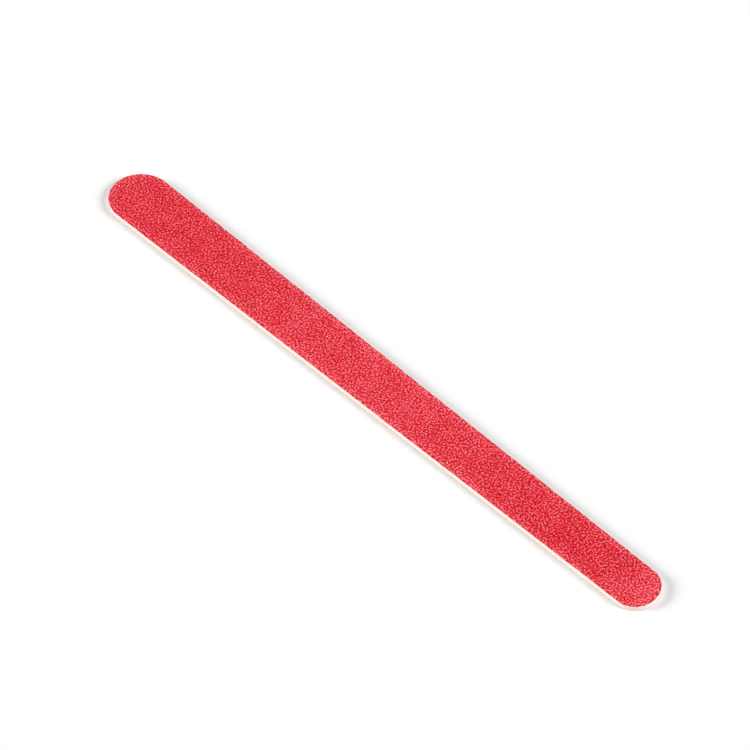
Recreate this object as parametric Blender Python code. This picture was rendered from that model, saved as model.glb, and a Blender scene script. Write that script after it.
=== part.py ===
"""Tapered emery board: a thin wooden core with abrasive paper glued to both faces.

Run with blender --background --python part.py, or from Blender's text editor.
Lengths are in metres and +Z is up. The board lies flat on z = 0 with its wide end towards -X.
"""

import math

import bmesh
import bpy

MM = 0.001

# Outline of the die that cuts the whole stack
BOARD_LENGTH = 178.0 * MM
WIDE_END_WIDTH = 15.9 * MM
NARROW_END_WIDTH = 11.9 * MM
WIDE_END_ROUND = 8.3 * MM
NARROW_END_ROUND = 5.3 * MM
STEPS_PER_QUARTER_ROUND = 24

# Thickness of each kind of ply
CORE_THICKNESS = 0.90 * MM
GLUE_THICKNESS = 0.04 * MM
PAPER_THICKNESS = 0.16 * MM
BOND_THICKNESS = 0.06 * MM
GRIT_THICKNESS = 0.10 * MM

# The die rolls the outer rim of each grit bed over as it cuts
RIM_ROLL = 0.05 * MM
RIM_ROLL_STEPS = 2

# A Bezier handle of this share of the radius draws a quarter of an ellipse
QUARTER_ROUND_HANDLE = 4.0 / 3.0 * (math.sqrt(2.0) - 1.0)
# Points of one ply closer than this are the same point
SAME_POINT = 0.001 * MM


def remove_all_objects():
    for old in list(bpy.data.objects):
        bpy.data.objects.remove(old, do_unlink=True)


def linear(srgb):
    """Turns an 8-bit sRGB colour into the linear RGBA that a shader takes."""
    shares = [channel / 255.0 for channel in srgb]
    return [s / 12.92 if s <= 0.04045 else ((s + 0.055) / 1.055) ** 2.4 for s in shares] + [1.0]


def finish(name, srgb, roughness, metallic=0.0):
    material = bpy.data.materials.new(name)
    material.use_nodes = True
    shader = material.node_tree.nodes["Principled BSDF"]
    shader.inputs["Base Color"].default_value = linear(srgb)
    shader.inputs["Roughness"].default_value = roughness
    shader.inputs["Metallic"].default_value = metallic
    material.diffuse_color = linear(srgb)
    return material


def set_handles(point, place, left_reach, right_reach):
    """Places a Bezier point. A reach of None leaves that side straight."""
    x, y = place
    point.co = (x, y, 0.0)
    point.handle_left_type = "VECTOR" if left_reach is None else "FREE"
    point.handle_right_type = "VECTOR" if right_reach is None else "FREE"
    if left_reach is not None:
        point.handle_left = (x + left_reach[0], y + left_reach[1], 0.0)
    if right_reach is not None:
        point.handle_right = (x + right_reach[0], y + right_reach[1], 0.0)


def die_outline(name, thickness):
    """The die's outline, filled and extruded to one ply: straight tapered sides between two half ellipses."""
    outline = bpy.data.curves.new(name, "CURVE")
    outline.dimensions = "2D"
    outline.fill_mode = "BOTH"
    outline.extrude = thickness / 2
    outline.resolution_u = STEPS_PER_QUARTER_ROUND

    tip = BOARD_LENGTH / 2
    wide_x = WIDE_END_ROUND - tip
    narrow_x = tip - NARROW_END_ROUND
    wide_y = WIDE_END_WIDTH / 2
    narrow_y = NARROW_END_WIDTH / 2
    wide_along = QUARTER_ROUND_HANDLE * WIDE_END_ROUND
    wide_across = QUARTER_ROUND_HANDLE * wide_y
    narrow_along = QUARTER_ROUND_HANDLE * NARROW_END_ROUND
    narrow_across = QUARTER_ROUND_HANDLE * narrow_y

    spline = outline.splines.new("BEZIER")
    spline.bezier_points.add(5)
    spline.use_cyclic_u = True
    points = spline.bezier_points
    set_handles(points[0], (-tip, 0.0), (0.0, wide_across), (0.0, -wide_across))
    set_handles(points[1], (wide_x, -wide_y), (-wide_along, 0.0), None)
    set_handles(points[2], (narrow_x, -narrow_y), None, (narrow_along, 0.0))
    set_handles(points[3], (tip, 0.0), (0.0, -narrow_across), (0.0, narrow_across))
    set_handles(points[4], (narrow_x, narrow_y), (narrow_along, 0.0), None)
    set_handles(points[5], (wide_x, wide_y), None, (-wide_along, 0.0))
    return outline


def welded_mesh(name, outline):
    """The outline's solid as a closed mesh, with its loose caps joined to its wall."""
    drawn = bpy.data.objects.new(name, outline)
    bpy.context.scene.collection.objects.link(drawn)
    evaluated = drawn.evaluated_get(bpy.context.evaluated_depsgraph_get())
    mesh = bpy.data.meshes.new_from_object(evaluated)
    bpy.data.objects.remove(drawn)
    bpy.data.curves.remove(outline)
    mesh.name = name

    shape = bmesh.new()
    shape.from_mesh(mesh)
    bmesh.ops.remove_doubles(shape, verts=shape.verts, dist=SAME_POINT)
    bmesh.ops.recalc_face_normals(shape, faces=shape.faces)
    shape.to_mesh(mesh)
    shape.free()
    return mesh


def roll_rim(mesh, outer_z):
    """Rounds the edge between the wall and the face at outer_z, in the ply's own coordinates."""
    shape = bmesh.new()
    shape.from_mesh(mesh)
    rim = [
        edge
        for edge in shape.edges
        if all(abs(corner.co.z - outer_z) < SAME_POINT for corner in edge.verts)
        and edge.calc_face_angle() > math.radians(45.0)
    ]
    bmesh.ops.bevel(
        shape,
        geom=rim,
        offset=min(RIM_ROLL, GRIT_THICKNESS / 2),
        offset_type="OFFSET",
        segments=RIM_ROLL_STEPS,
        profile=0.5,
        affect="EDGES",
        clamp_overlap=False,
    )
    shape.to_mesh(mesh)
    shape.free()


def cut_ply(name, low_z, thickness, material, outward=0):
    """One ply of the stack. outward is +1 or -1 for a grit bed that faces up or down, and 0 inside the stack."""
    mesh = welded_mesh(name, die_outline(name, thickness))
    if outward:
        roll_rim(mesh, outward * thickness / 2)
    mesh.materials.clear()
    mesh.materials.append(material)
    mesh.shade_smooth()
    mesh.set_sharp_from_angle(angle=math.radians(30.0))
    ply = bpy.data.objects.new(name, mesh)
    ply.location.z = low_z + thickness / 2
    return ply


def abrasive_side(side):
    """Name, thickness and finish of each ply of one side, from the core outwards."""
    glue = finish(side + "_glue", (240, 224, 190), 0.35)
    paper = finish(side + "_paper", (247, 238, 222), 0.80)
    bond = finish(side + "_bond", (196, 44, 56), 0.40)
    grit = finish(side + "_grit", (229, 67, 79), 0.62)
    return [
        (side + "_glue_film", GLUE_THICKNESS, glue),
        (side + "_backing_paper", PAPER_THICKNESS, paper),
        (side + "_bond_coat", BOND_THICKNESS, bond),
        (side + "_grit", GRIT_THICKNESS, grit),
    ]


def emery_board():
    remove_all_objects()
    board = bpy.data.collections.new("emery_board")
    bpy.context.scene.collection.children.link(board)
    origin = bpy.data.objects.new("emery_board_origin", None)
    board.objects.link(origin)

    core = ("wood_core", CORE_THICKNESS, finish("basswood", (254, 243, 232), 0.72))
    stack = abrasive_side("lower")[::-1] + [core] + abrasive_side("upper")
    low_z = 0.0
    for number, (name, thickness, material) in enumerate(stack):
        outward = {0: -1, len(stack) - 1: 1}.get(number, 0)
        ply = cut_ply(name, low_z, thickness, material, outward)
        ply.parent = origin
        board.objects.link(ply)
        low_z += thickness


emery_board()
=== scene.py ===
"""Dresses the packed emery board, and sets the table, light and camera that it is shown with.

The board is a laminate, die-cut in one stroke. Its plies are modelled in the place of their packed solids,
apart from the glue films, which keep theirs and get a finish.
Lengths are in metres. The wide end is towards -X and the upper grit faces +Z.
"""

import math

import bpy
import numpy as np
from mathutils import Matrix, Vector, noise
from mathutils.geometry import delaunay_2d_cdt
from mathutils.kdtree import KDTree


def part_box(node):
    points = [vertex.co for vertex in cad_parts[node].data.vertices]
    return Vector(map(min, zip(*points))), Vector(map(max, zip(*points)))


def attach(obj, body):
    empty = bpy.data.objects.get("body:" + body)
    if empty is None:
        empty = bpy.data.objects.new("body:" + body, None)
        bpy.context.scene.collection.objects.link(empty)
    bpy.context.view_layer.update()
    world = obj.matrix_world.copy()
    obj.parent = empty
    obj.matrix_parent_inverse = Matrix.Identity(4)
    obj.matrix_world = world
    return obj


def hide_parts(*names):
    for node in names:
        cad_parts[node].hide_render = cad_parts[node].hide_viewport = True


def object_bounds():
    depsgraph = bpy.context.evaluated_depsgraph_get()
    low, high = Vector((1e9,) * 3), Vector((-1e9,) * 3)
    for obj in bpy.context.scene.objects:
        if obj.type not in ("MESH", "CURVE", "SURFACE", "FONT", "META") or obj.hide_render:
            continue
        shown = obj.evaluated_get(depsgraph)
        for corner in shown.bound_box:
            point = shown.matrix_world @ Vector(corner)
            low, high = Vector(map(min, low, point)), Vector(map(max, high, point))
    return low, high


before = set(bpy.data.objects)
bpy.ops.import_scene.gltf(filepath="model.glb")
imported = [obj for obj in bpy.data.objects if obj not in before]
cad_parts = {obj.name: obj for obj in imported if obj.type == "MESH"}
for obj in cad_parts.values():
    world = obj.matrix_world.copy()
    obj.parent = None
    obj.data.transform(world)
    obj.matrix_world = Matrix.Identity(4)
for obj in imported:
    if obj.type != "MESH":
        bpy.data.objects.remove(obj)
cad_low, cad_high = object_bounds()

bl_info = {
    "name": "Emery Board",
    "version": (1, 0, 0),
    "blender": (4, 5, 0),
    "location": "View3D > Sidebar > Emery Board",
    "description": "Dresses a packed emery board with grit, resin, paper, glue and wood",
    "category": "Object",
}

MM = 0.001
BODY = "root"
# Points of a packed solid closer than this are the same point
SAME_POINT = 0.001 * MM
# Which way the grit of each side faces
FACING = {"upper": 1, "lower": -1}
# Name of the map that each piece's bake places are written to
BAKE_MAP = "OFBake"
SENSOR_WIDTH_MM = 36.0


def linear(red, green, blue):
    """Turns an 8-bit sRGB colour into the linear colour that a shader takes."""
    shares = [channel / 255 for channel in (red, green, blue)]
    return tuple(s / 12.92 if s <= 0.04045 else ((s + 0.055) / 1.055) ** 2.4 for s in shares)


# Settings


def length(name, description, default):
    """A length that a user can change."""
    return bpy.props.FloatProperty(
        name=name, description=description, default=default, min=0.0, precision=6, unit="LENGTH"
    )


def share(name, description, default):
    """A share from 0 to 1 that a user can change."""
    return bpy.props.FloatProperty(
        name=name, description=description, default=default, min=0.0, max=1.0, subtype="FACTOR"
    )


def colour(name, description, default):
    """A colour that a user can change."""
    return bpy.props.FloatVectorProperty(
        name=name, description=description, default=default, min=0.0, max=1.0, size=3, subtype="COLOR"
    )


def angle(name, description, degrees):
    """An angle that a user can change."""
    return bpy.props.FloatProperty(
        name=name, description=description, default=math.radians(degrees), subtype="ANGLE"
    )


def strength(name, description, default):
    """The strength of a lamp that a user can change, in watts per square metre."""
    return bpy.props.FloatProperty(name=name, description=description, default=default, min=0.0)


def whole(name, description, default):
    """A whole number that a user can change."""
    return bpy.props.IntProperty(name=name, description=description, default=default, min=1)


class GritSettings(bpy.types.PropertyGroup):
    """Grain and colours of the two grit beds."""

    pitch: length("Grain pitch", "Mean distance between two grains", 0.42 * MM)
    scatter: share("Scatter", "How far a grain strays from an even spread", 0.32)
    lowest_grain: share("Lowest grain", "Height of the lowest grain, as a share of the bed's depth", 0.40)
    resin_level: share("Resin level", "Highest level of the resin between grains, as a share", 0.22)
    smallest_top: share("Smallest top", "Reach of the smallest top of a grain, as a share of its cell", 0.40)
    widest_top: share("Widest top", "Reach of the widest top of a grain, as a share of its cell", 0.62)
    lean: share("Lean", "How far a grain's top may lean, as a share of the bed's depth", 0.18)
    glints: share("Glints", "Share of the grains that are bare and catch the light", 0.0003)
    # Dark between the grains: partly thick resin, partly painted shade
    valley_resin_and_shade_colour: colour("Valleys", "Thick red resin, dark between the grains", linear(188, 4, 21))
    coat_colour: colour("Coat", "Red resin on the flanks of the grains", linear(244, 61, 75))
    tip_colour: colour("Tips", "Thin resin over the palest grains", linear(255, 139, 149))
    # A bare grain's pale colour is partly a painted glint
    glint_colour: colour("Glint", "Bare grain", linear(255, 206, 206))
    chips: length("Chips", "Deepest chip that the die knocks out of the grit and resin at the rim", 0.20 * MM)
    worn_rim: length("Worn rim", "Width of the paler rim that the die bruises", 2.0 * MM)
    worn_tip: length("Worn tip", "Length of the narrow tip that filing wears as much as the rim", 15.0 * MM)
    # The middle of each face is paler over this length, by this share of the rim's paling
    pale_middle: length("Worn middle", "Length of the middle that filing wears a little", 130.0 * MM)
    middle_paleness: share("Rub", "Wear of the middle, as a share of the wear of the rim", 0.35)
    seed: whole("Seed", "Picks another scatter of grains", 7)


class PlySettings(bpy.types.PropertyGroup):
    """Cut edges and colours of the plies between the grit beds."""

    step: length("Step", "Distance between two points along a cut edge", 0.35 * MM)
    nicks: length("Nicks", "Deepest nick that the die leaves in the edge of the core", 0.04 * MM)
    fuzz: length("Fuzz", "Deepest dent in the cut edge of the paper", 0.02 * MM)
    wood_colour: colour("Wood", "Pale wood of the core", linear(246, 233, 223))
    fibre_colour: colour("Fibres", "Darker fibres along the core", linear(238, 214, 188))
    paper_colour: colour("Paper", "Cut edge of the backing paper", linear(246, 234, 225))
    stain_colour: colour("Stain", "Red resin soaked into the face of the paper", linear(232, 130, 128))
    glue_colour: colour("Glue", "Dried adhesive", linear(248, 232, 204))
    bond_colour: colour("Bond", "Red resin under the grain", linear(196, 44, 56))


class StageSettings(bpy.types.PropertyGroup):
    """Table, light and camera."""

    table_colour: colour("Table", "White table under the board", (1.0, 1.0, 1.0))
    table_side: length("Table side", "Side of the square table", 6.0)
    dome: share("Dome", "Strength of the even light from all around", 0.22)
    left_strength: strength("Left lamp", "Strength of the soft lamp on the picture's left", 2.80)
    left_turn: angle("Left turn", "From the camera's side round to the left lamp", 90.0)
    left_elevation: angle("Left height", "Height of the left lamp above the table", 22.5)
    left_spread: angle("Left spread", "How wide the left lamp looks from the board", 23.0)
    right_strength: strength("Right lamp", "Strength of the soft lamp on the picture's right", 2.70)
    right_turn: angle("Right turn", "From the camera's side round to the right lamp", 75.0)
    right_elevation: angle("Right height", "Height of the right lamp above the table", 31.0)
    right_spread: angle("Right spread", "How wide the right lamp looks from the board", 29.0)
    azimuth: angle("Azimuth", "Way of the camera round the board", 45.4)
    elevation: angle("Elevation", "Height of the camera above the table", 50.5)
    distance: length("Distance", "From the camera to the board", 0.7021)
    lens: bpy.props.FloatProperty(
        name="Lens", description="Focal length of the camera", default=144.0, min=1.0, unit="CAMERA"
    )
    aim: bpy.props.FloatVectorProperty(
        name="Aim",
        description="Point that lies in the middle of the picture",
        default=(-0.03 * MM, 1.28 * MM, cad_high.z),
        subtype="TRANSLATION",
    )


# Shader maths


class Wire:
    """The output of a node. An expression on wires adds Math nodes."""

    def __init__(self, paint, socket):
        self.paint = paint
        self.socket = socket

    def combine(self, operation, first, second):
        """A Math node on two wires or numbers."""
        return self.paint.node("Math", {"operation": operation}, {0: first, 1: second})

    def __add__(self, other):
        return self.combine("ADD", self, other)

    def __radd__(self, other):
        return self.combine("ADD", other, self)

    def __sub__(self, other):
        return self.combine("SUBTRACT", self, other)

    def __rsub__(self, other):
        return self.combine("SUBTRACT", other, self)

    def __mul__(self, other):
        return self.combine("MULTIPLY", self, other)

    def __rmul__(self, other):
        return self.combine("MULTIPLY", other, self)

    def __gt__(self, other):
        return self.combine("GREATER_THAN", self, other)

    def __lt__(self, other):
        return self.combine("LESS_THAN", self, other)

    def rise(self, low, high):
        """0 below low, 1 above high and a smooth step between them."""
        settings = {"interpolation_type": "SMOOTHSTEP"}
        return self.paint.node("MapRange", settings, {"Value": self, "From Min": low, "From Max": high})


class Paint:
    """The nodes of a material, or of the world."""

    def __init__(self, owner):
        owner.use_nodes = True
        self.owner = owner
        self.tree = owner.node_tree

    def node(self, kind, settings, sockets, output=0):
        """Adds a node of this type, with its settings first and then its sockets, by name or number."""
        node = self.tree.nodes.new("ShaderNode" + kind)
        for name, value in settings.items():
            setattr(node, name, value)
        self.feed(node, sockets)
        return Wire(self, node.outputs[output])

    def feed(self, node, sockets):
        """Links wires to a node's sockets, and sets the others to numbers or colours."""
        for key, value in sockets.items():
            socket = node.inputs[key]
            if isinstance(value, Wire):
                self.tree.links.new(value.socket, socket)
            elif socket.type == "RGBA":
                socket.default_value = (*value, 1.0)
            else:
                socket.default_value = value

    def mix(self, factor, first, second):
        """The first colour where factor is 0, and the second where it is 1."""
        return self.node("Mix", {"data_type": "RGBA"}, {0: factor, 6: first, 7: second}, output=2)

    def place(self):
        """The point of the surface, in metres."""
        return self.node("NewGeometry", {}, {}, "Position")

    def noise(self, size, detail=2.0, seed=0.0):
        """Soft noise from 0 to 1. size is the size of its spots along each axis, in metres."""
        spots = self.node("VectorMath", {"operation": "DIVIDE"}, {0: self.place(), 1: size})
        sockets = {"Vector": spots, "W": seed, "Scale": 1.0, "Detail": detail}
        return self.node("TexNoise", {"noise_dimensions": "4D"}, sockets)

    def attribute(self, name):
        """A number stored on the mesh."""
        return self.node("Attribute", {"attribute_name": name}, {}, "Fac")

    def bump(self, height, depth):
        """A normal from a height of 0 to 1 that stands for this depth in metres."""
        return self.node("Bump", {}, {"Height": height, "Distance": depth}, "Normal")

    def shader(self, **sockets):
        """Feeds the material's own Principled shader, with _ for a space in a socket's name."""
        principled = self.tree.nodes["Principled BSDF"]
        self.feed(principled, {name.replace("_", " "): value for name, value in sockets.items()})
        return self.owner


def new_paint(name):
    """The nodes of a new material."""
    return Paint(bpy.data.materials.new(name))


def even(size):
    """A noise size that is the same along each axis."""
    return (size, size, size)


# Finishes

# Heights between which the flank of a grain turns into its crest, as shares of the bed's depth. The feet of
# the grains are darkened as painted shade, and their crests paled as painted light
FLANK_TO_CREST = (0.1, 0.7)
# How much each of these pales the resin of the grit
GRAIN_PALING = 0.75
CREST_PALING = 0.35
WEAR_PALING = 0.18
CLOUD_PALING = 0.30
SPECK_PALING = 0.60
# The paleness at which valleys turn to coat, and coat to tips
VALLEY_TO_COAT = (0.18, 0.80)
COAT_TO_TIP = (0.71, 1.10)
# How ragged the stain in the paper is, and where it fades out, as shares of the paper's thickness
STAIN_RAGGEDNESS = 0.6
STAIN_FADE = (-0.22, 0.0)
# What the fibres and the rings of the wood add to its dark streaks, and where these set in
FIBRE_SHARE = 0.6
RING_SHARE = 0.4
STREAK = (0.45, 0.75)


def grit_finish(look):
    """Red resin over grain: dark between the grains, partly thick resin and partly painted shade, pale on
    their tips, partly as painted light on the crests, with a few bare grains painted pale, partly as glints.
    """
    paint = new_paint("grit")
    tone = paint.attribute("grain_tone")
    # Painted shade at the feet of the grains and painted light on their crests, by height
    crest = paint.attribute("grain_lift").rise(*FLANK_TO_CREST)
    wear = paint.attribute("grain_wear")
    cloud = paint.noise(even(3.5 * MM)) - 0.5
    speck = paint.noise(even(0.09 * MM))
    paleness = tone * GRAIN_PALING + crest * CREST_PALING + wear * WEAR_PALING
    paleness += cloud * CLOUD_PALING + (speck - 0.5) * SPECK_PALING
    # Bare grains are painted pale, partly as painted glints; the coat gives them real gloss
    bare = tone > 1.0 - look.glints
    flank = paint.mix(paleness.rise(*VALLEY_TO_COAT), look.valley_resin_and_shade_colour, look.coat_colour)
    coat = paint.mix(paleness.rise(*COAT_TO_TIP), flank, look.tip_colour)
    return paint.shader(
        Base_Color=paint.mix(bare, coat, look.glint_colour),
        Roughness=0.75 - speck * 0.15,
        Specular_IOR_Level=0.08,
        Coat_Weight=bare,
        Coat_Roughness=0.2,
        Normal=paint.bump(speck, 0.01 * MM),
    )


def bond_finish(look):
    """Red resin, a little uneven where the die tore it."""
    paint = new_paint("bond_resin")
    tear = paint.noise((0.6 * MM, 0.6 * MM, 0.03 * MM))
    return paint.shader(
        Base_Color=paint.mix(tear.rise(0.35, 0.75), look.bond_colour, look.stain_colour),
        Roughness=0.40 + tear * 0.25,
        Normal=paint.bump(tear, 0.01 * MM),
    )


def paper_finish(look, side):
    """Cut paper: pale fibres along the sheet, stained by the resin on its outer face."""
    paint = new_paint(side + "_backing_paper")
    low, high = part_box(side + "_backing_paper")
    fibre = paint.noise((0.5 * MM, 0.5 * MM, 0.03 * MM), detail=4.0)
    height = paint.node("SeparateXYZ", {}, {0: paint.place()}, "Z")
    depth = (high.z - height if FACING[side] > 0 else height - low.z) * (1.0 / (high.z - low.z))
    stain = 1.0 - (depth + (fibre - 0.5) * STAIN_RAGGEDNESS).rise(*STAIN_FADE)
    return paint.shader(
        Base_Color=paint.mix(stain, look.paper_colour, look.stain_colour),
        Roughness=0.75 + fibre * 0.2,
        Specular_IOR_Level=0.25,
        Normal=paint.bump(fibre, 0.02 * MM),
    )


def glue_finish(look):
    """Dried adhesive, squeezed out thick and thin."""
    paint = new_paint("glue")
    squeeze = paint.noise((1.2 * MM, 1.2 * MM, 0.05 * MM))
    return paint.shader(
        Base_Color=paint.mix(squeeze.rise(0.3, 0.7), look.glue_colour, look.paper_colour),
        Roughness=0.35 + squeeze * 0.3,
        Normal=paint.bump(squeeze, 0.01 * MM),
    )


def wood_finish(look):
    """Pale wood with fibres along the board."""
    paint = new_paint("core_wood")
    fibre = paint.noise((5.0 * MM, 0.25 * MM, 0.07 * MM), detail=4.0)
    ring = paint.noise((30.0 * MM, 2.5 * MM, 0.5 * MM), seed=3.0)
    dark = (fibre * FIBRE_SHARE + ring * RING_SHARE).rise(*STREAK)
    return paint.shader(
        Base_Color=paint.mix(dark, look.wood_colour, look.fibre_colour),
        Roughness=0.65 + fibre * 0.2,
        Specular_IOR_Level=0.25,
        Normal=paint.bump(fibre, 0.02 * MM),
    )


# Outline of the die

# Noise seldom comes near -1 or 1, so it is stretched by this much and clipped
NOISE_STRETCH = 1.6
# Where in the noise the dents of the grit and resin, the paper and the core are drawn
CHIP_SEED = 20.0
FUZZ_SEED = 10.0
NICK_SEED = 0.0


def outline(node_name, z):
    """Corners of a ply's outline at height z, in order round the board, from its packed solid."""
    corners = {
        (round(point.co.x / SAME_POINT) * SAME_POINT, round(point.co.y / SAME_POINT) * SAME_POINT)
        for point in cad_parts[node_name].data.vertices
        if abs(point.co.z - z) < SAME_POINT
    }
    return np.array(sorted(corners, key=lambda corner: math.atan2(corner[1], corner[0])))


def walk(corners, step):
    """Points about one step apart along a closed outline, its corners among them."""
    points = []
    for here, there in zip(corners, np.roll(corners, -1, axis=0)):
        parts = max(1, round(math.dist(here, there) / step))
        points += [here + (there - here) * part / parts for part in range(parts)]
    return np.array(points)


def inward(points):
    """The direction into the board at each point of a closed outline."""
    along = np.roll(points, -1, axis=0) - np.roll(points, 1, axis=0)
    across = np.stack([-along[:, 1], along[:, 0]], axis=1)
    return across / np.linalg.norm(across, axis=1, keepdims=True)


def chipped(rim, dents, z):
    """An outline moved into the board by the dents in it at height z."""
    depth = np.array([dents(x, y, z) for x, y in rim])
    return rim + inward(rim) * depth[:, None]


def distance_inside(points, corners):
    """How far each point lies inside a convex outline. It is negative outside."""
    inside = np.full(len(points), np.inf)
    for here, there in zip(corners, np.roll(corners, -1, axis=0)):
        along = (there - here) / math.dist(here, there)
        offset = points - here
        inside = np.minimum(inside, along[0] * offset[:, 1] - along[1] * offset[:, 0])
    return inside


def uneven(depth, size, seed):
    """A dent of 0 to this depth at a point of a cut edge. size is the size of its spots along each axis."""

    def dent(x, y, z):
        spot = Vector((x / size[0], y / size[1], z / size[2] + seed))
        wave = max(-1.0, min(1.0, NOISE_STRETCH * noise.noise(spot)))
        return depth * (1.0 + wave) / 2

    return dent


def rim_chips(depth, side):
    """The chips in the rim of one side. They are as deep in the grit as in the resin under it."""
    dent = uneven(depth, even(0.8 * MM), CHIP_SEED * FACING[side])
    return lambda x, y, z: dent(x, y, 0.0)


# Meshes

# Gap between two rows of a strip that is folded in the bake map, as a share of a row
BAKE_GAP = 0.04
# Edges that turn by more than this stay sharp
SHARP_TURN = math.radians(50.0)


def new_piece(name, points, faces, finish, node_name):
    """A piece of the board that stands for a packed solid."""
    mesh = bpy.data.meshes.new(name)
    mesh.from_pydata(points, [], faces)
    mesh.materials.append(finish)
    piece = bpy.data.objects.new(name, mesh)
    bpy.context.scene.collection.objects.link(piece)
    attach(piece, BODY)
    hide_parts(node_name)
    return piece


def folded(along, across, rows, band):
    """Folds a strip into rows between the two heights of a band of the bake map.

    along and across run from 0 to 1 over the strip, with a line for each face and a number for each corner.
    """
    low, high = band
    row = np.clip(np.floor(along.mean(axis=1, keepdims=True) * rows), 0, rows - 1)
    u = BAKE_GAP / 2 + (1 - BAKE_GAP) * (along * rows - row)
    v = low + (high - low) * (row + BAKE_GAP / 2 + (1 - BAKE_GAP) * across) / rows
    return np.stack([u, v], axis=-1).reshape(-1, 2)


def write_bake_map(mesh, *places):
    """Writes the places of all corners, in the order of the faces."""
    bake_map = mesh.uv_layers.new(name=BAKE_MAP)
    bake_map.uv.foreach_set("vector", np.concatenate(places).astype(np.float32).ravel())


def write_numbers(mesh, name, domain, numbers):
    """Stores a number for each point or face, for the finish to read."""
    mesh.attributes.new(name, "FLOAT", domain).data.foreach_set("value", numbers)


def spread_out(points):
    """Flat points, stretched to run from 0 to 1 along both axes."""
    return (points - points.min(axis=0)) / (points.max(axis=0) - points.min(axis=0))


def cap_places(points, band):
    """Lays a flat cap between the two heights of a band of the bake map."""
    low, high = band
    spread = spread_out(points)
    return np.stack([spread[:, 0], low + (high - low) * spread[:, 1]], axis=1)


def search_tree(points):
    """A tree that finds the flat points near a place."""
    tree = KDTree(len(points))
    for number, (x, y) in enumerate(points):
        tree.insert((x, y, 0.0), number)
    tree.balance()
    return tree


# Grit beds

# Heights of the torn rim, as shares of the bed's depth, and tones of the resin there
RIM_LIFT = (0.15, 0.5)
RIM_TONE = (0.0, 0.8)
# How far the resin between grains and the tops of grains stay from the rim, as shares of a cell
RESIN_GAP = 0.5
TOP_GAP = 0.08
# Fewest and most corners of a grain's top, and how far one sways, as a share of the way to the next
TOP_CORNERS = (3, 4)
TOP_SWAY = 0.2
# A grain's tone is set apart from the tones of this many grains around it
NEIGHBOURS = 6
# The triangulation keeps what lies inside the rim, and joins points closer than this share of the pitch
KEEP_INSIDE = 1
SAME_PLACE = 1e-5
# Bands of the bake map for the grains, the wall and the floor, and the rows that the first two are folded in
GRAIN_BAND = (0.0, 0.86)
GRAIN_ROWS = 3
WALL_BAND = (0.86, 0.98)
WALL_ROWS = 6
FLOOR_BAND = (0.985, 0.998)


def cell_reach(look):
    """From the centre of a grain to the points of resin around it."""
    return look.pitch / math.sqrt(3.0)


def room_inside(points, rim):
    """How far each point lies inside the chipped rim, from its nearest point. It is negative outside."""
    tree = search_tree(rim)
    nearest = [tree.find((x, y, 0.0))[1] for x, y in points]
    return np.sum((points - rim[nearest]) * inward(rim)[nearest], axis=1)


def grain_cells(look, rim, chance):
    """Centres of the grains, points of the resin between them, and pairs of these that border a grain's cell.

    Both lie inside the chipped rim, on an even spread of points that stray a little. One point in three is a
    grain, and the six around it are resin.
    """
    spacing = cell_reach(look)
    row_height = look.pitch / 2
    low = rim.min(axis=0)
    high = rim.max(axis=0)
    columns = int((high[0] - low[0]) / spacing) + 2
    rows = int((high[1] - low[1]) / row_height) + 2
    row, column = np.indices((rows, columns))
    even_spread = np.stack([(column + row % 2 / 2) * spacing, row * row_height], axis=-1) + low
    points = even_spread + chance.uniform(-look.scatter, look.scatter, even_spread.shape) * spacing
    points = points.reshape(-1, 2)
    is_grain = ((column - row // 2 - row) % 3 == 0).ravel()

    room = room_inside(points, rim) / spacing
    is_resin = (room > RESIN_GAP) & ~is_grain
    is_centre = (room > look.widest_top + TOP_GAP) & is_grain

    # Points side by side in a row, one above the other, and across, as every second row is half a step on
    number = np.arange(rows * columns).reshape(rows, columns)
    neighbours = [
        (number[:, :-1], number[:, 1:]),
        (number[:-1], number[1:]),
        (number[0:-1:2, 1:], number[1::2, :-1]),
        (number[1:-1:2, :-1], number[2::2, 1:]),
    ]
    pairs = np.concatenate([np.stack([here.ravel(), there.ravel()], axis=1) for here, there in neighbours])
    resin_number = np.cumsum(is_resin) - 1
    borders = resin_number[pairs[is_resin[pairs].all(axis=1)]]
    return points[is_centre], points[is_resin], borders


def grain_tops(look, centres, chance):
    """Corners of the blunt tops of the grains, and the number of each corner's grain."""
    fewest, most = TOP_CORNERS
    counts = chance.integers(fewest, most + 1, len(centres))
    grain = np.repeat(np.arange(len(centres)), counts)
    place = np.arange(len(grain)) - (np.cumsum(counts) - counts)[grain]
    first_turn = chance.uniform(0.0, 1.0, len(centres))
    sway = chance.uniform(-TOP_SWAY, TOP_SWAY, len(grain))
    way = math.tau * (first_turn[grain] + (place + sway) / counts[grain])
    reach = chance.uniform(look.smallest_top, look.widest_top, len(grain)) * cell_reach(look)
    return centres[grain] + reach[:, None] * np.stack([np.cos(way), np.sin(way)], axis=1), grain


def grain_tones(centres, chance):
    """A tone from 0 to 1 for each grain, pushed away from the tones of the grains around it."""
    tree = search_tree(centres)
    first = chance.uniform(0.0, 1.0, len(centres))
    near = [tree.find_n((x, y, 0.0), NEIGHBOURS + 1)[1:] for x, y in centres]
    around = np.array([[number for _, number, _ in grains] for grains in near])
    unlike = first - first[around].mean(axis=1)
    # The rank of each grain makes every tone as common as the others
    return unlike.argsort().argsort() / len(centres)


def grain_wear(look, points, corners):
    """How worn and pale the grains are at each point: worn along the rim and at the narrow tip, and paler in
    the middle.
    """
    along = points[:, 0]
    rim = np.clip(1.0 - distance_inside(points, corners) / look.worn_rim, 0.0, 1.0)
    tip = np.clip(1.0 - (corners[:, 0].max() - along) / look.worn_tip, 0.0, 1.0)
    middle = np.clip(1.0 - np.abs(along) / (look.pale_middle / 2), 0.0, 1.0)
    # The sine lets the paleness of the middle fade out softly at both ends
    return np.maximum(rim, tip) + look.middle_paleness * np.sin(math.pi / 2 * middle) ** 2


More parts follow.
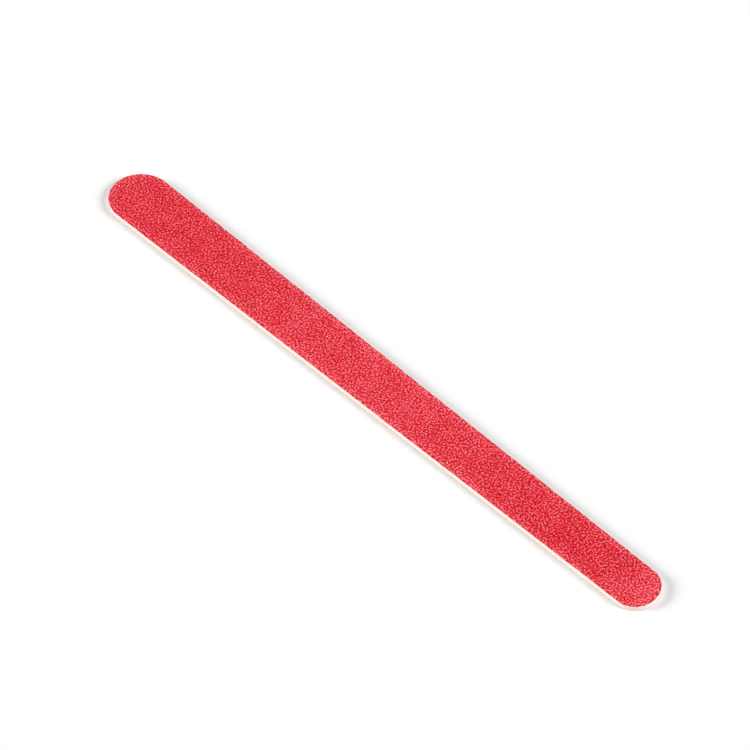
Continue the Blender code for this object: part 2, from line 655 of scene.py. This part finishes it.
def triangles(points, borders, rim_count, pitch):
    """Triangles inside the outline that the first points draw. None of them crosses a border of a cell."""
    places = [Vector(point) for point in points / pitch]
    rim = list(range(rim_count))
    _, _, faces, origins, _, _ = delaunay_2d_cdt(places, borders.tolist(), [rim], KEEP_INSIDE, SAME_PLACE)
    return np.array([[origins[corner][0] for corner in face] for face in faces])


def grit_bed(side, look, finish):
    """Grains on red resin, cut to the die's outline, with a wall and a flat floor on the bond coat."""
    name = side + "_grit"
    facing = FACING[side]
    low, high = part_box(name)
    inner_z = low.z if facing > 0 else high.z
    chance = np.random.default_rng([look.seed, facing + 1])
    corners = outline(name, inner_z)
    rim = chipped(walk(corners, look.pitch), rim_chips(look.chips, side), inner_z)
    centres, resin, borders = grain_cells(look, rim, chance)
    tops, grain = grain_tops(look, centres, chance)
    flat = np.concatenate([rim, resin, tops])
    faces = triangles(flat, borders + len(rim), len(rim), look.pitch)

    tones = grain_tones(centres, chance)
    standing = (tones + chance.uniform(0.0, 1.0, len(centres))) / 2
    height = look.lowest_grain + (1.0 - look.lowest_grain) * standing
    lean = chance.uniform(-look.lean, look.lean, len(tops))
    rim_lift = chance.uniform(*RIM_LIFT, len(rim))
    resin_lift = chance.uniform(0.0, look.resin_level, len(resin))
    lift = np.concatenate([rim_lift, resin_lift, np.clip(height[grain] + lean, 0.0, 1.0)])

    # A face with no corner on the top of a grain is bare resin at the rim
    top_of_face = faces.max(axis=1) - len(rim) - len(resin)
    face_tone = np.where(top_of_face < 0, chance.uniform(*RIM_TONE, len(faces)), tones[grain[top_of_face]])

    relief = np.column_stack([flat, inner_z + facing * (high.z - low.z) * lift])
    base = np.column_stack([rim, np.full(len(rim), inner_z)])
    points = np.concatenate([relief, base])
    here = np.arange(len(rim))
    there = np.roll(here, -1)
    wall = np.stack([here, here + len(flat), there + len(flat), there], axis=1)
    floor = here[::-1] + len(flat)
    if facing < 0:
        faces = faces[:, ::-1]
        wall = wall[:, ::-1]
        floor = floor[::-1]
    all_faces = [*faces.tolist(), *wall.tolist(), floor.tolist()]
    piece = new_piece(name + "_bed", points, all_faces, finish, name)

    wear = grain_wear(look, points[:, :2], corners)
    wall_tone = chance.uniform(*RIM_TONE, len(wall))
    write_numbers(piece.data, "grain_lift", "POINT", np.concatenate([lift, np.zeros(len(base))]))
    write_numbers(piece.data, "grain_tone", "FACE", np.concatenate([face_tone, wall_tone, [0.0]]))
    write_numbers(piece.data, "grain_wear", "POINT", wear)

    spread = spread_out(flat)
    wall_along = np.stack([here, here, here + 1, here + 1], axis=1) / len(rim)
    wall_across = np.tile([1.0, 0.0, 0.0, 1.0], (len(rim), 1))
    write_bake_map(
        piece.data,
        folded(spread[faces, 0], spread[faces, 1], GRAIN_ROWS, GRAIN_BAND),
        folded(wall_along, wall_across, WALL_ROWS, WALL_BAND),
        cap_places(points[floor, :2], FLOOR_BAND),
    )


# Inner plies

# Tiers of faces up the cut edge of each ply
BOND_TIERS = 2
PAPER_TIERS = 3
CORE_TIERS = 9
# Bands of the bake map for the cut edge and the two faces, and the rows that the edge is folded in
EDGE_BAND = (0.0, 0.90)
EDGE_ROWS = 24
LOWER_FACE_BAND = (0.91, 0.95)
UPPER_FACE_BAND = (0.955, 0.995)


def cut_ply(name, node_name, tiers, dents, step, finish):
    """A ply with an uneven cut edge. dents gives the depth of the dent at each point of the edge."""
    low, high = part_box(node_name)
    rim = walk(outline(node_name, low.z), step)
    count = len(rim)
    levels = np.linspace(low.z, high.z, tiers + 1)
    points = np.concatenate([np.column_stack([chipped(rim, dents, z), np.full(count, z)]) for z in levels])

    here = np.tile(np.arange(count), tiers)
    level = np.repeat(np.arange(tiers), count)
    there = (here + 1) % count
    below = level * count
    above = below + count
    wall = np.stack([here + below, there + below, there + above, here + above], axis=1)
    floor = np.arange(count)[::-1]
    ceiling = np.arange(count) + tiers * count
    faces = [*wall.tolist(), floor.tolist(), ceiling.tolist()]
    piece = new_piece(name, points, faces, finish, node_name)
    piece.data.shade_smooth()
    piece.data.set_sharp_from_angle(angle=SHARP_TURN)

    along = np.stack([here, here + 1, here + 1, here], axis=1) / count
    across = np.stack([level, level, level + 1, level + 1], axis=1) / tiers
    write_bake_map(
        piece.data,
        folded(along, across, EDGE_ROWS, EDGE_BAND),
        cap_places(points[floor, :2], LOWER_FACE_BAND),
        cap_places(points[ceiling, :2], UPPER_FACE_BAND),
    )


# Stage


def table(look):
    """A wide white table top."""
    half = look.table_side / 2
    mesh = bpy.data.meshes.new("table")
    corners = [(-half, -half, 0.0), (half, -half, 0.0), (half, half, 0.0), (-half, half, 0.0)]
    mesh.from_pydata(corners, [], [(0, 1, 2, 3)])
    paint = new_paint("table_top")
    paint.shader(Base_Color=look.table_colour, Roughness=0.9, Specular_IOR_Level=0.0)
    mesh.materials.append(paint.owner)
    top = bpy.data.objects.new("table", mesh)
    bpy.context.scene.collection.objects.link(top)


def dome_light(look):
    """Even light from all around, which is plain white where the camera or a reflection sees it."""
    world = bpy.data.worlds.new("studio")
    bpy.context.scene.world = world
    paint = Paint(world)
    rays = ("Is Camera Ray", "Is Glossy Ray", "Is Transmission Ray")
    straight, mirrored, through = [paint.node("LightPath", {}, {}, ray) for ray in rays]
    seen = straight + mirrored + through > 0.5
    paint.feed(
        paint.tree.nodes["Background"],
        {"Color": (1.0, 1.0, 1.0), "Strength": look.dome + seen * (1.0 - look.dome)},
    )


def towards(azimuth, elevation):
    """The direction to a place at this way round the board and this height above the table."""
    level = math.cos(elevation)
    return Vector((math.sin(azimuth) * level, -math.cos(azimuth) * level, math.sin(elevation)))


def soft_lamp(name, back, energy, spread):
    """A wide lamp, far enough away to light the whole table alike."""
    light = bpy.data.lights.new(name, "SUN")
    light.energy = energy
    light.angle = spread
    lamp = bpy.data.objects.new(name, light)
    lamp.location = back
    lamp.rotation_euler = back.to_track_quat("Z", "Y").to_euler()
    bpy.context.scene.collection.objects.link(lamp)


def camera(look):
    """A camera at the picture's viewing angle."""
    lens = bpy.data.cameras.new("camera")
    lens.lens = look.lens
    lens.sensor_width = SENSOR_WIDTH_MM
    back = towards(look.azimuth, look.elevation)
    eye = bpy.data.objects.new("camera", lens)
    eye.location = Vector(look.aim) + back * look.distance
    eye.rotation_euler = back.to_track_quat("Z", "Y").to_euler()
    bpy.context.scene.collection.objects.link(eye)
    bpy.context.scene.camera = eye


# Operators


class EMERY_OT_stage(bpy.types.Operator):
    """Sets the table, the light and the camera"""

    bl_idname = "emery.stage"
    bl_label = "Stage"

    def execute(self, context):
        look = context.scene.emery_stage
        context.scene.view_settings.view_transform = "Standard"
        table(look)
        dome_light(look)
        left = towards(look.azimuth - look.left_turn, look.left_elevation)
        right = towards(look.azimuth + look.right_turn, look.right_elevation)
        soft_lamp("left_lamp", left, look.left_strength, look.left_spread)
        soft_lamp("right_lamp", right, look.right_strength, look.right_spread)
        camera(look)
        return {"FINISHED"}


class EMERY_OT_grit_beds(bpy.types.Operator):
    """Makes the beds of red grain on both faces"""

    bl_idname = "emery.grit_beds"
    bl_label = "Grit Beds"

    def execute(self, context):
        look = context.scene.emery_grit
        finish = grit_finish(look)
        for side in FACING:
            grit_bed(side, look, finish)
        return {"FINISHED"}


class EMERY_OT_bond_coats(bpy.types.Operator):
    """Makes the red resin under the grain, chipped along its rim"""

    bl_idname = "emery.bond_coats"
    bl_label = "Bond Coats"

    def execute(self, context):
        look = context.scene.emery_ply
        finish = bond_finish(look)
        for side in FACING:
            chips = rim_chips(context.scene.emery_grit.chips, side)
            node_name = side + "_bond_coat"
            cut_ply(side + "_bond", node_name, BOND_TIERS, chips, look.step, finish)
        return {"FINISHED"}


class EMERY_OT_backing_papers(bpy.types.Operator):
    """Makes the backing papers, stained by the resin on their faces"""

    bl_idname = "emery.backing_papers"
    bl_label = "Backing Papers"

    def execute(self, context):
        look = context.scene.emery_ply
        for side, facing in FACING.items():
            dents = uneven(look.fuzz, (0.5 * MM, 0.5 * MM, 0.06 * MM), FUZZ_SEED * facing)
            finish = paper_finish(look, side)
            node_name = side + "_backing_paper"
            cut_ply(side + "_paper", node_name, PAPER_TIERS, dents, look.step, finish)
        return {"FINISHED"}


class EMERY_OT_glue_films(bpy.types.Operator):
    """Finishes the glue between the papers and the core"""

    bl_idname = "emery.glue_films"
    bl_label = "Glue Films"

    def execute(self, context):
        finish = glue_finish(context.scene.emery_ply)
        for side in FACING:
            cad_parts[side + "_glue_film"].material_slots[0].material = finish
        return {"FINISHED"}


class EMERY_OT_core(bpy.types.Operator):
    """Makes the wooden core with its die-cut edge"""

    bl_idname = "emery.core"
    bl_label = "Core"

    def execute(self, context):
        look = context.scene.emery_ply
        dents = uneven(look.nicks, (3.0 * MM, 0.6 * MM, 0.16 * MM), NICK_SEED)
        cut_ply("core", "wood_core", CORE_TIERS, dents, look.step, wood_finish(look))
        return {"FINISHED"}


class EMERY_PT_panel(bpy.types.Panel):
    """Lists the pieces of the board and their settings"""

    bl_idname = "EMERY_PT_panel"
    bl_label = "Emery Board"
    bl_space_type = "VIEW_3D"
    bl_region_type = "UI"
    bl_category = "Emery Board"

    def draw(self, context):
        for operator in OPERATORS:
            self.layout.operator(operator.bl_idname)
        for name, group in SETTINGS.items():
            box = self.layout.box()
            box.label(text=group.__doc__)
            for key in group.__annotations__:
                box.prop(getattr(context.scene, name), key)


SETTINGS = {"emery_grit": GritSettings, "emery_ply": PlySettings, "emery_stage": StageSettings}
OPERATORS = (
    EMERY_OT_stage,
    EMERY_OT_grit_beds,
    EMERY_OT_bond_coats,
    EMERY_OT_backing_papers,
    EMERY_OT_glue_films,
    EMERY_OT_core,
)
CLASSES = (*SETTINGS.values(), *OPERATORS, EMERY_PT_panel)


def register():
    for each in CLASSES:
        bpy.utils.register_class(each)
    for name, group in SETTINGS.items():
        setattr(bpy.types.Scene, name, bpy.props.PointerProperty(type=group))


def unregister():
    for name in SETTINGS:
        delattr(bpy.types.Scene, name)
    for each in reversed(CLASSES):
        bpy.utils.unregister_class(each)


def main():
    register()
    bpy.ops.emery.stage()
    bpy.ops.emery.grit_beds()
    bpy.ops.emery.bond_coats()
    bpy.ops.emery.backing_papers()
    bpy.ops.emery.glue_films()
    bpy.ops.emery.core()


if __name__ == "__main__":
    main()
